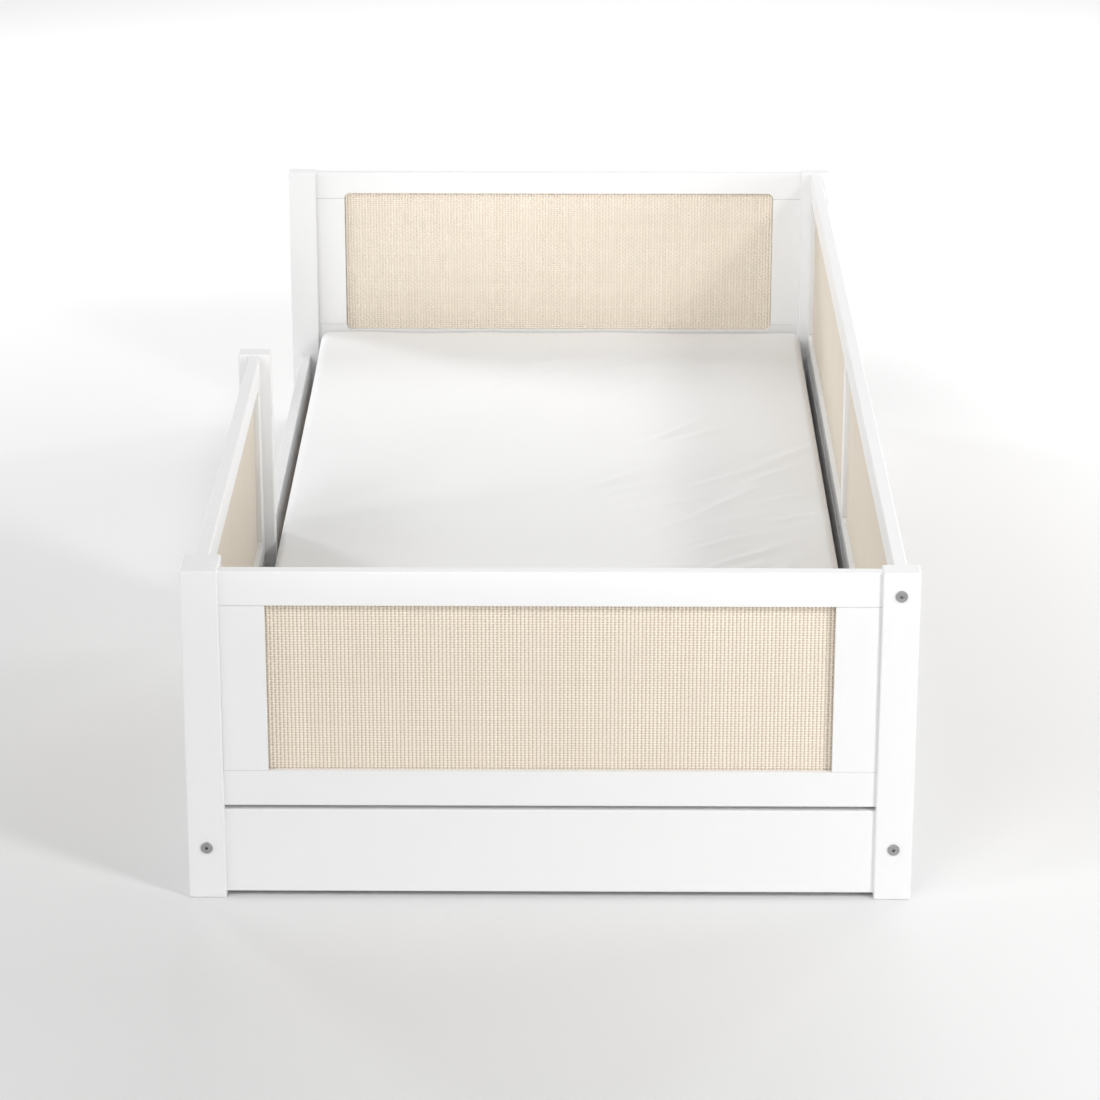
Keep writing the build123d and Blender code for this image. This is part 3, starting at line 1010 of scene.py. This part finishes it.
# ---- operators --------------------------------------------------------------------------------
class BED_OT_lacquer(bpy.types.Operator):
    """Lacquer the posts, rails, stiles and boards"""

    bl_idname = "bed.lacquer"
    bl_label = "Lacquer the woodwork"

    def execute(self, context):
        settings = context.scene.bed_lacquer
        colour, roughness = settings.colour, settings.roughness
        finishes = {axis: lacquer_finish(axis, colour, roughness).material for axis in "XYZ"}
        low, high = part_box("foot_stile_left")
        stile = stile_finish(colour, roughness, low.z, high.z, settings.seam)
        for node in nodes_in_slot("white_lacquer"):
            dress(node, stile if "_stile_" in node else finishes[longest_axis(node)])
        return {"FINISHED"}


class BED_OT_base(bpy.types.Operator):
    """Finish the slats, ledgers, dowels and straps"""

    bl_idname = "bed.base"
    bl_label = "Finish the slatted base"

    def execute(self, context):
        settings = context.scene.bed_wood
        pine = {axis: pine_finish(f"pine_{axis.lower()}", axis, settings.pine) for axis in "XY"}
        for node in nodes_in_slot("bare_pine"):
            dress(node, pine[longest_axis(node)])
        dress("dowels", pine_finish("beech", "X", settings.beech))
        tape = webbing_finish("slat_tape", settings.strap)
        for node in nodes_in_slot("textile_strap"):
            dress(node, tape)
        return {"FINISHED"}


class BED_OT_hardware(bpy.types.Operator):
    """Finish the bolts, nuts and screws"""

    bl_idname = "bed.hardware"
    bl_label = "Finish the hardware"

    def execute(self, context):
        zinc = steel_finish("zinc_plate", context.scene.bed_hardware.zinc)
        for node in nodes_in_slot("zinc_hardware") + nodes_in_slot("hidden_hardware"):
            dress(node, zinc)
        return {"FINISHED"}


class BED_OT_cane(bpy.types.Operator):
    """Weave the cane panels"""

    bl_idname = "bed.cane"
    bl_label = "Weave the cane panels"

    def execute(self, context):
        settings = context.scene.bed_cane
        tree = weave_tree()
        materials = {
            "upright_y": cane_finish("cane_upright_end", "Z", settings.colour),
            # The guard materials use the darker guard colour: painted shade on the guards' inner faces.
            "upright_x": cane_finish("cane_upright_guard_painted_shade", "Z", settings.guard_painted_shade_colour),
            "level_y": cane_finish("cane_level_end", "X", settings.colour),
            "level_x": cane_finish("cane_level_guard_painted_shade", "Y", settings.guard_painted_shade_colour),
        }
        # The sheet behind each weave carries painted shade, dark points between the strands.
        shade_sheet_finishes = (
            cotton_finish("cane_shade_sheet_outside", settings.shade_sheet_outer_colour, mottle=0.05),
            cotton_finish("cane_shade_sheet_inside", settings.shade_sheet_inner_colour, mottle=0.05),
        )
        for index, (node, plane_axis, inward) in enumerate(CANE_PANELS):
            seed = settings.seed + 10 * index
            for name, mesh in weave_panel(settings, tree, node, plane_axis, inward, seed, materials):
                add_piece(name, mesh, "frame", [node])
            shade_sheet = shade_sheet_panel(settings, node, plane_axis, inward, shade_sheet_finishes)
            add_piece(f"{node}_liner", shade_sheet, "frame", [node])
        return {"FINISHED"}


class BED_OT_mattress(bpy.types.Operator):
    """Stuff the mattress and stretch the fitted sheet over it"""

    bl_idname = "bed.mattress"
    bl_label = "Make the mattress and its sheet"

    def execute(self, context):
        settings = context.scene.bed_bedding
        core, _, _ = mattress_block(settings, settings.pad_inset, "mattress_core_pad")
        core.materials.append(cotton_finish("ticking", settings.ticking, mottle=0.04))
        core = subdivide(core, 1)
        core.name = "mattress_pad"
        pad = add_piece("mattress_pad", core, "mattress", ["mattress_core"])
        sheet, low, high = mattress_block(settings, 0.0, "sheet_block")
        sheet.materials.append(cotton_finish("cotton_sheet", settings.colour))
        sheet = subdivide(sheet, 2)
        points = points_of(sheet)
        top = np.clip((points[:, 2] - (high.z - settings.edge_radius)) / settings.edge_radius, 0.0, 1.0)
        lift = crease_field(points, settings, low, high) + soft_waves(points, settings)
        points[:, 2] += lift * top ** 2
        set_points(sheet, points)
        sheet = open_bottom(sheet, low, high, settings.tuck)
        cover = add_piece("stretched_sheet", sheet, "mattress", ["fitted_sheet"])
        return {"FINISHED"}


class BED_OT_stage(bpy.types.Operator):
    """Set up the floor, the lights and the camera"""

    bl_idname = "bed.stage"
    bl_label = "Set the stage"

    def execute(self, context):
        settings = context.scene.bed_stage
        make_floor(settings)
        make_sky(settings)
        make_lights(settings)
        make_camera()
        context.scene.view_settings.view_transform = "Standard"
        return {"FINISHED"}


# ---- stage ------------------------------------------------------------------------------------
def make_floor(settings):
    half = settings.floor_half
    mesh = bpy.data.meshes.new("floor")
    corners = [(-half, -half, 0.0), (half, -half, 0.0), (half, half, 0.0), (-half, half, 0.0)]
    mesh.from_pydata(corners, [], [(0, 1, 2, 3)])
    mesh.materials.append(floor_finish(settings.floor_colour, roughness=0.6))
    floor = bpy.data.objects.new("floor", mesh)
    bpy.context.scene.collection.objects.link(floor)


def make_sky(settings):
    world = bpy.data.worlds.new("white_surroundings")
    world.use_nodes = True
    background = next(node for node in world.node_tree.nodes if node.type == "BACKGROUND")
    background.inputs["Color"].default_value = (1.0, 1.0, 1.0, 1.0)
    nodes = Nodes(world.node_tree)
    seen = nodes.add("ShaderNodeLightPath", output="Is Camera Ray")
    strength = seen * (settings.backdrop - settings.sky) + settings.sky
    world.node_tree.links.new(strength.socket, background.inputs["Strength"])
    bpy.context.scene.world = world


def aim(light, direction):
    light.rotation_euler = Vector(direction).to_track_quat("-Z", "Y").to_euler()
    bpy.context.scene.collection.objects.link(light)


def softbox(name, place, target, size, power, spread=180.0):
    """A rectangular soft light that faces a point, and is itself out of sight."""
    data = bpy.data.lights.new(name, "AREA")
    data.shape = "RECTANGLE"
    data.size = size[0]
    data.size_y = size[1]
    data.spread = math.radians(spread)
    data.energy = power
    light = bpy.data.objects.new(name, data)
    light.location = place
    light.visible_camera = False
    aim(light, Vector(target) - Vector(place))


def bearing(turn, height):
    """The direction of a place at a turn from +X and a height above the floor, in degrees."""
    turn = math.radians(turn)
    height = math.radians(height)
    flat = math.cos(height)
    return Vector((flat * math.cos(turn), flat * math.sin(turn), math.sin(height)))


def far_softbox(name, turn, height, spread, strength):
    """A soft light so far away that it lights the whole floor alike."""
    data = bpy.data.lights.new(name, "SUN")
    data.angle = math.radians(spread)
    data.energy = strength
    aim(bpy.data.objects.new(name, data), -bearing(turn, height))


def make_lights(settings):
    for name, turn, height, spread, strength in FAR_LIGHTS:
        far_softbox(name, turn, height, spread, strength * settings.brightness)
    for name, place, side, power in NEAR_LIGHTS:
        softbox(name, place, NEAR_LIGHT_TARGET, (side, side), power * settings.brightness)
    softbox("head_end", *HEAD_LIGHT, settings.head_light * settings.brightness, HEAD_LIGHT_SPREAD)
    softbox("far_floor", *FAR_FLOOR_LIGHT, settings.far_floor * settings.brightness)


def make_camera():
    """A long lens in front of the foot end, looking down at about 20 degrees."""
    data = bpy.data.cameras.new("camera")
    data.sensor_width = SENSOR_WIDTH
    data.lens = CAMERA_LENS
    camera = bpy.data.objects.new("camera", data)
    camera.location = CAMERA_PLACE
    camera.rotation_euler = (math.radians(90.0 - CAMERA_TILT), 0.0, math.radians(CAMERA_TURN))
    bpy.context.scene.collection.objects.link(camera)
    bpy.context.scene.camera = camera


# ---- panel and registration -------------------------------------------------------------------
OPERATORS = (
    BED_OT_stage,
    BED_OT_lacquer,
    BED_OT_base,
    BED_OT_hardware,
    BED_OT_cane,
    BED_OT_mattress,
)


class BED_PT_sidebar(bpy.types.Panel):
    """Lists the bed's pieces and their settings"""

    bl_idname = "BED_PT_sidebar"
    bl_label = "Toddler bed"
    bl_space_type = "VIEW_3D"
    bl_region_type = "UI"
    bl_category = "Bed"

    def draw(self, context):
        for operator in OPERATORS:
            self.layout.operator(operator.bl_idname)
        for key in SETTINGS:
            box = self.layout.box()
            group = getattr(context.scene, key)
            for name in group.__annotations__:
                box.prop(group, name)


def register():
    for key, group in SETTINGS.items():
        bpy.utils.register_class(group)
        setattr(bpy.types.Scene, key, PointerProperty(type=group))
    for operator in OPERATORS:
        bpy.utils.register_class(operator)
    bpy.utils.register_class(BED_PT_sidebar)


def unregister():
    bpy.utils.unregister_class(BED_PT_sidebar)
    for operator in reversed(OPERATORS):
        bpy.utils.unregister_class(operator)
    for key, group in SETTINGS.items():
        delattr(bpy.types.Scene, key)
        bpy.utils.unregister_class(group)


def main():
    register()
    bpy.ops.bed.stage()
    bpy.ops.bed.lacquer()
    bpy.ops.bed.base()
    bpy.ops.bed.hardware()
    bpy.ops.bed.cane()
    bpy.ops.bed.mattress()


if __name__ == "__main__":
    main()
